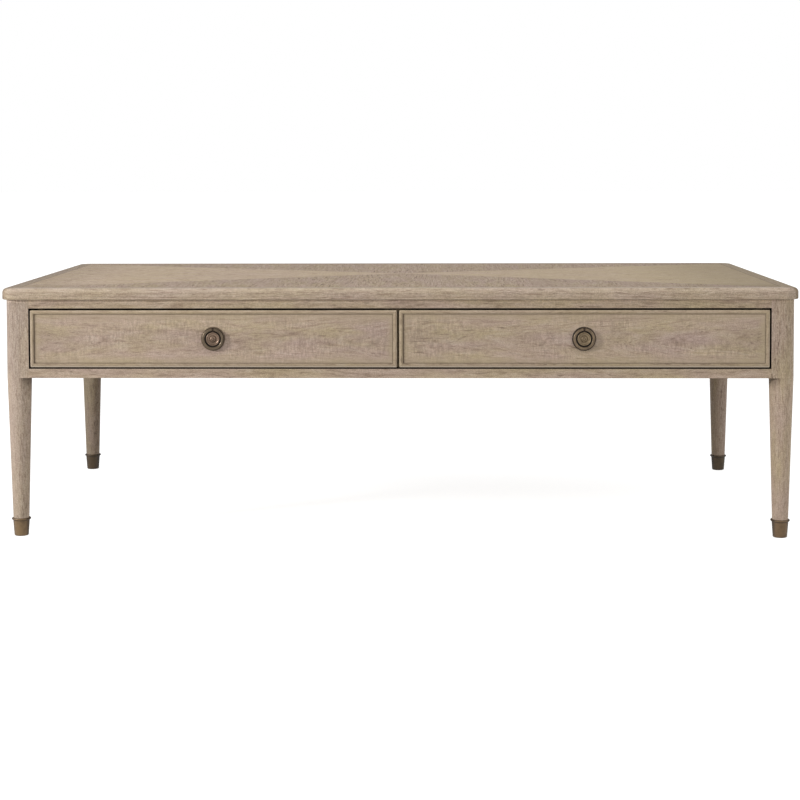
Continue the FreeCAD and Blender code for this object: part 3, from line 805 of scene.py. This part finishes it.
def field_gap(tree, colour, from_left):
    """Patchy glaze, partly painted shadow, on the left flank of a field, and painted shade in the gap
    behind its face.
    """
    patch_width, patch_detail, patch_start = 0.009, 2.0, 4.1
    patchy_noise, least_patch = (0.35, 0.60), 0.45
    flank, flank_blend, flank_glaze_and_shadow_share = (0.0001, -0.0002), 0.002, 0.55
    dark_depth, dark_share = 0.0030, 0.70
    x, y, z = tree.place()
    behind = tree.less(y, face)
    near = tree.fade(behind, gap_shade_depth + flank_blend, gap_shade_depth)
    patchy = tree.fade(tree.cloudy(patch_width, patch_detail, patch_start), *patchy_noise, least_patch, 1.0)
    # Partly painted shadow: patchy dark on the left flank, inside the quirk
    left_flank_glaze_and_shadow = tree.times(tree.times(tree.fade(from_left, *flank), near), patchy)
    colour = tree.stain(colour, tree.times(left_flank_glaze_and_shadow, flank_glaze_and_shadow_share), glaze_and_shade_brown)
    # Painted shade: the edges of the field turn near-black behind its face, inside the gap
    dark = tree.fade(behind, gap_shade_end, gap_shade_depth, 0.0, dark_share)
    return tree.stain(colour, tree.times(behind_face(tree, dark_depth), dark), gap_shade_brown)


def front_marks(name, right_end_shade):
    """Shaded ends, darker heartwood, and glaze in the quirk and over the edges of the field."""
    end_tone, heart_drop, heart_step = 0.93, 0.002, 7
    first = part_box(name + "bead_left")[1].x + quirk_width
    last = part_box(name + "bead_right")[0].x - quirk_width
    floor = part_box(name + "bead_bottom")[1].z + quirk_width
    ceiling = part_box(name + "bead_top")[0].z - quirk_width

    def marks(tree, colour):
        x, y, z = tree.place()
        from_left = tree.less(x, first)
        from_right = tree.less(last, x)
        near_end = tree.least(
            tree.over(from_left, left_end_shade), tree.over(from_right, right_end_shade)
        )
        colour = tree.shade(colour, tree.fade(near_end, 0.0, 1.0, end_tone, 1.0))
        colour = heartwood(tree, colour, (floor + ceiling) / 2 - heart_drop, first * heart_step)
        inset = tree.least(from_left, from_right, tree.less(ceiling, z), tree.less(z, floor))
        colour = field_glaze(tree, colour, inset, from_left)
        return field_gap(tree, colour, from_left)

    return marks


# Metal


def aged_metal(name, crest, hollow, roughness, metallic, hollows):
    """Patinated metal: cloudy tarnish, fine pits and dirt left in the hollows, and on the ferrules painted
    shade down their sides.
    """
    cloud_size, cloud_detail = 0.012, 4.0
    pit_size, pit_detail, pit_seed, pit_reach = 0.0011, 2.0, 3.3, 0.2
    tarnished, tarnish_share, extra_roughness = (0.40, 0.75), 0.55, 0.25
    tree = material_tree(name)
    fine = tree.cloudy(pit_size, pit_detail, pit_seed)
    cloud = tree.add(tree.cloudy(cloud_size, cloud_detail), tree.swing(fine, pit_reach))
    tarnish = tree.fade(cloud, *tarnished, 0.0, tarnish_share)
    share = tree.most(tarnish, hollows(tree))
    colour = tree.mix(share, from_screen(crest), from_screen(hollow))
    rough = tree.span(share, roughness, roughness + extra_roughness)
    return tree.surface(colour, rough, fine, metal_relief, Metallic=metallic)


def ring_hollows(ring_face):
    """Dirt on the sides and back of the ring, behind its rubbed front."""
    begins, full, dark_colour_share = 0.0003, 0.0020, 0.95

    def hollows(tree):
        x, y, z = tree.place()
        return tree.fade(y, ring_face + begins, ring_face + full, 0.0, dark_colour_share)

    return hollows


def rosette_hollows(centre):
    """Dirt round the button and the dome, inside the rim, and round the outside."""

    def hollows(tree):
        x, y, z = tree.place()
        radius = tree.reach(tree.less(x, centre.x), tree.less(z, centre.z))
        dirt = [tree.fade(radius, *rosette_edge)]
        for rise, fall, strength in dirt_rings:
            band = tree.least(tree.fade(radius, *rise), tree.fade(radius, *fall))
            dirt.append(tree.times(band, strength))
        return tree.most(*dirt)

    return hollows


def plate_hollows(centre):
    """Dirt on the flat of the plate, up to its rubbed edge."""
    dark_colour_share = 0.9

    def hollows(tree):
        x, y, z = tree.place()
        radius = tree.reach(tree.less(x, centre.x), tree.less(z, centre.z))
        return tree.fade(radius, *plate_edge, 0.0, dark_colour_share)

    return hollows


def ferrule_dirt_and_shade(low, high):
    """Dirt under the collar of a ferrule and at its mouth, and painted shade down its two sides."""
    shade_begins, shade_full = 0.50, 0.80
    collar_drop, collar_band, mouth_down = 0.0040, (0.0016, 0.0002), (0.0008, 0.0001)
    dark_colour_share = 0.9
    middle = abs(low.x + high.x) / 2
    half = (high.x - low.x) / 2

    def hollows(tree):
        x, y, z = tree.place()
        down = tree.less(high.z, z)
        off_middle = tree.size(tree.less(tree.size(x), middle))
        # Painted shade: darker towards the left and right flanks of the ferrule
        flank = tree.fade(off_middle, half * shade_begins, half * shade_full, 0.0, dark_colour_share)
        under = tree.fade(tree.size(tree.less(down, collar_drop)), *collar_band)
        over = tree.fade(down, *mouth_down)
        return tree.most(tree.times(tree.most(under, over), dark_colour_share), flank)

    return hollows


def steel(name):
    """Zinc-plated steel of the screws, faintly mottled."""
    mottle_size, mottle_detail = 0.0016, 3.0
    least_rough, most_rough = 0.3, 0.5
    tree = material_tree(name)
    fine = tree.cloudy(mottle_size, mottle_detail)
    colour = tree.mix(fine, *[from_screen(tone) for tone in steel_colours])
    roughness = tree.span(fine, least_rough, most_rough)
    return tree.surface(colour, roughness, fine, steel_relief, Metallic=1.0)


# Finishes of the nodes


def paint(material, *nodes):
    for name in nodes:
        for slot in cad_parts[name].material_slots:
            slot.material = material


def opening_corners():
    """Corners of the space that the two drawer fronts fill, with its gaps."""
    low = Vector((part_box("leg_front_left")[1].x, 0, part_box("front_bottom_rail")[1].z))
    high = Vector((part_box("leg_front_right")[0].x, 0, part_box("front_top_rail")[0].z))
    return low, high


def paint_top():
    paint(quartered_top("veneer"), "top_panel")
    for board, edge in enumerate(ends + sides, first_board["border"]):
        low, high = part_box("top_edge_" + edge)
        if edge in ends:
            grain, heart = "x", (high.z + heart_far, low.y - border_heart)
        else:
            grain, heart = "y", (high.x + heart_near, high.z + heart_far)
        marks = border_marks(edge, low, high)
        looks = border_looks[edge]
        border = oak("border_" + edge, grain, board, heart, marks, blush=0.15, stretch=1.5, **looks)
        paint(border, "top_edge_" + edge)


def paint_legs():
    corners = [(end, side) for end in ends for side in sides]
    for board, (end, side) in enumerate(corners, first_board["leg"]):
        name = "leg_" + end + "_" + side
        low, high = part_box(name)
        heart = (low.x - leg_heart, high.y + heart_far)
        marks = leg_marks(end, side, low, high)
        tones = pale_leg_tones if name == "leg_front_left" else rail_tones
        paint(oak(name, "z", board, heart, marks, tones=tones, contrast=leg_contrast, **leg_looks), name)


def paint_rails():
    lengthwise = ("front_top_rail", "front_bottom_rail", "back_apron")
    marks = gap_marks(*opening_corners())
    for board, name in enumerate(lengthwise + ("side_apron_left", "side_apron_right"), first_board["rail"]):
        low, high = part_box(name)
        if name in lengthwise:
            grain, heart = "x", (low.z - heart_near, high.y + heart_far)
        else:
            grain, heart = "y", ((low.x + high.x) / 2, low.z - heart_far)
        looks = front_rail_looks if name.startswith("front") else apron_looks
        paint(oak(name, grain, board, heart, marks, wave=0.002, blush=0.1, stretch=1.6, **looks), name)


def paint_inside():
    for k, side in enumerate(sides):
        low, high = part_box("runner_" + side + "_outer")
        heart = (low.x - heart_near, low.z - heart_far)
        lengths = plain_wood("inner_" + side, "y", first_board["inner"] + k, heart)
        names = [gear + side + place for gear in ("runner_", "kicker_") for place in ("_outer", "_inner")]
        paint(lengths, *names, "guide_" + side)
        low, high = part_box("corner_block_" + side)
        heart = (low.x - heart_far, low.y - heart_far)
        paint(plain_wood("block_" + side, "z", first_board["block"] + k, heart), "corner_block_" + side)
    partition = plain_wood("partition", "y", first_board["partition"], partition_heart)
    paint(partition, "centre_partition")
    paint(plain_wood("stops", "x", first_board["stops"], stop_heart), "drawer_stops")
    paint(steel("top_screws"), "top_screws")


def paint_front(name, k, side):
    """Field of a drawer front."""
    low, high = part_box(name + "front")
    middle = (low + high) / 2
    heart = (middle.z - front_heart_drop, face - front_heart)
    bend = (middle.x, *front_bends[side])
    marks = front_marks(name, right_end_shades[side])
    field = oak(name + "front", "x", first_board["front"] + k, heart, marks, bend, **front_looks)
    paint(field, name + "front")


def paint_beads(name, k):
    """The four beads round a drawer front."""
    board = first_board["bead"] + len(bead_looks) * k
    for edge, (tone, glaze_and_shade_share, highlight_share) in bead_looks.items():
        bead_name = name + "bead_" + edge
        grain = "x" if edge in ("top", "bottom") else "z"
        marks = bead_marks(edge, glaze_and_shade_share, highlight_share, *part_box(bead_name))
        bead = oak(bead_name, grain, board, bead_heart, marks, tones=bead_tones, tone=tone, blush=0.0)
        paint(bead, bead_name)
        board += 1


def paint_box(name, k):
    """Sides, back and bottom of a drawer."""
    low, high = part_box(name + "front")
    middle = (low.x + high.x) / 2
    heart = (low.x - side_heart, high.z + heart_near)
    box_sides = plain_wood(name + "sides", "y", first_board["box_side"] + k, heart, tone=maple_tone)
    paint(box_sides, name + "side_left", name + "side_right")
    back = plain_wood(name + "back", "x", first_board["box_back"] + k, (high.z, 0), tone=maple_tone)
    paint(back, name + "back")
    heart = (middle, low.z - heart_far)
    board = first_board["box_bottom"] + k
    bottom = plain_wood(name + "bottom", "y", board, heart, ring=plywood_ring, tone=plywood_tone)
    paint(bottom, name + "bottom")


def paint_pull(name, side):
    low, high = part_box(name + "pull_plate")
    centre = (low + high) / 2
    ring_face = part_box(name + "pull_ring")[0].y
    pieces = (
        ("rosette", rosette_crests, rosette_finish, rosette_hollows(centre)),
        ("ring", ring_crests, ring_finish, ring_hollows(ring_face)),
        ("plate", plate_crests, plate_finish, plate_hollows(centre)),
    )
    for piece, crests, finish, hollows in pieces:
        paint(aged_metal(name + piece, crests[side], *finish, hollows), name + "pull_" + piece)
    paint(steel(name + "screw"), name + "pull_screw")


def paint_drawers():
    for k, side in enumerate(sides):
        name = "drawer_" + side + "_"
        paint_front(name, k, side)
        paint_beads(name, k)
        paint_box(name, k)
        paint_pull(name, side)


def paint_ferrules():
    for (end, side), colours in ferrule_colours.items():
        name = "ferrule_" + end + "_" + side
        paint(aged_metal(name, *colours, *ferrule_finish, ferrule_dirt_and_shade(*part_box(name))), name)


# Studio


def point_camera():
    level = math.cos(camera_pitch)
    forward = Vector((math.sin(camera_yaw) * level, math.cos(camera_yaw) * level, -math.sin(camera_pitch)))
    right = Vector((math.cos(camera_yaw), -math.sin(camera_yaw), 0))
    up = right.cross(forward)
    rolled_right = right * math.cos(camera_roll) + up * math.sin(camera_roll)
    rolled_up = up * math.cos(camera_roll) - right * math.sin(camera_roll)
    data = bpy.data.cameras.new("camera")
    data.sensor_width = sensor_width
    data.lens = sensor_width * focal_length_pixels / image_size
    centre_x, centre_y = optical_centre_pixels
    data.shift_x = 0.5 - centre_x / image_size
    data.shift_y = centre_y / image_size - 0.5
    camera = bpy.data.objects.new("camera", data)
    turn = Matrix((rolled_right, rolled_up, -forward)).transposed()
    camera.matrix_world = Matrix.Translation(camera_place) @ turn.to_4x4()
    bpy.context.scene.collection.objects.link(camera)
    bpy.context.scene.camera = camera


def soft_lamp(name, azimuth, elevation, distance, size, strength):
    """Round lamp that points at the table."""
    side, height = math.radians(azimuth), math.radians(elevation)
    level = math.cos(height)
    away = Vector((math.sin(side) * level, -math.cos(side) * level, math.sin(height)))
    data = bpy.data.lights.new(name, "AREA")
    data.shape = "DISK"
    data.size = size
    data.energy = strength * (math.pi * distance) ** 2
    lamp = bpy.data.objects.new(name, data)
    lamp.location = lamp_aim + away * distance
    lamp.rotation_euler = (-away).to_track_quat("-Z", "Y").to_euler()
    bpy.context.scene.collection.objects.link(lamp)


def white_room():
    world = bpy.data.worlds.new("world")
    bpy.context.scene.world = world
    tree = Tree(world)
    background = tree.node("Background")
    background.inputs["Color"].default_value = (1, 1, 1, 1)
    tree.feed(background.inputs["Strength"], tree.span(tree.seen_directly(), room_light, 1.0))
    tree.output(background, "World")


def pale_floor():
    mesh = bpy.data.meshes.new("floor")
    corners = [(-1, -1), (1, -1), (1, 1), (-1, 1)]
    mesh.from_pydata([(floor_half * x, floor_half * y, 0) for x, y in corners], [], [(0, 1, 2, 3)])
    floor = bpy.data.objects.new("floor", mesh)
    bpy.context.scene.collection.objects.link(floor)
    tree = material_tree("floor")
    matt = tree.node("BsdfDiffuse")
    matt.inputs["Color"].default_value = (floor_tone, floor_tone, floor_tone, 1)
    glow = tree.node("Emission")
    tree.feed(glow.inputs["Strength"], tree.times(tree.seen_directly(), floor_glow))
    both = tree.node("AddShader")
    tree.fill(both, (matt.outputs[0], glow.outputs[0]))
    mesh.materials.append(tree.output(both))


point_camera()
white_room()
pale_floor()
for lamp_name, lamp_values in lamps.items():
    soft_lamp(lamp_name, *lamp_values)
paint_top()
paint_legs()
paint_rails()
paint_inside()
paint_drawers()
paint_ferrules()

bpy.context.scene.view_settings.view_transform = "Standard"
